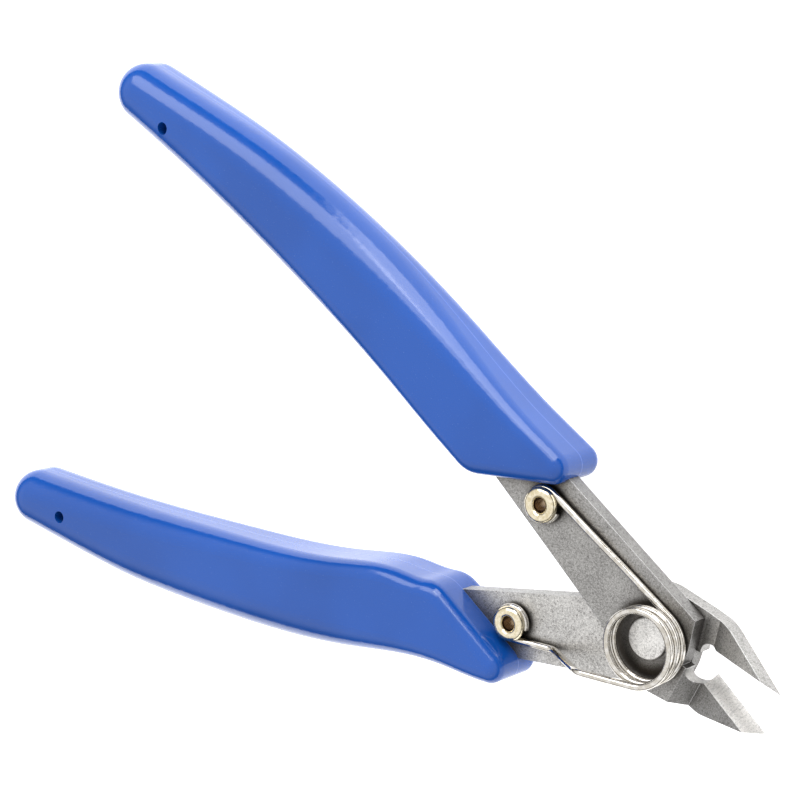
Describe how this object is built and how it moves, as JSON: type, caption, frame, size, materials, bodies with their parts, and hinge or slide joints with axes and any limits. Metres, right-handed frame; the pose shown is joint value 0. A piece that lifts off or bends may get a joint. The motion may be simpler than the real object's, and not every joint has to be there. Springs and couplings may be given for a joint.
{
  "type": "flush cut pliers",
  "caption": "Small flush cut pliers: two riveted steel halves with bent-up ground jaws, a torsion return spring hooked round tubular posts, and moulded grips.",
  "frame": {"origin": "under the middle of the open tool, level with the backs of the two grips, on its centre line", "axes": "+X along the centre line towards the jaws, +Z out of the face that carries the spring, +Y towards the front half's handle"},
  "size_m": [0.1282, 0.075, 0.0123],
  "materials": {
    "stamped_steel": "satin grey, with brighter ground bevels",
    "rivet_steel": "pale, lightly pitted",
    "spring_wire": "bright drawn wire",
    "post_brass": "pale brass, semi-gloss",
    "grip_plastic": "smooth blue, glossy"
  },
  "bodies": {
    "rear_half": {"rear_blade_half": "stamped_steel", "rear_grip": "grip_plastic", "rear_spring_post": "post_brass", "pivot_rivet": "rivet_steel", "return_spring": "spring_wire"},
    "front_half": {"front_blade_half": "stamped_steel", "front_grip": "grip_plastic", "front_spring_post": "post_brass"}
  },
  "joints": [
    {"name": "pivot", "type": "hinge", "parent": "rear_half", "child": "front_half", "pos_m": [0.04427, 0, 0], "axis": [0, 0, 1], "range_deg": [0, 16], "stiffness_Nm_per_rad": 0.108, "springref_deg": -20.05, "deforming": ["return_spring"]}
  ]
}
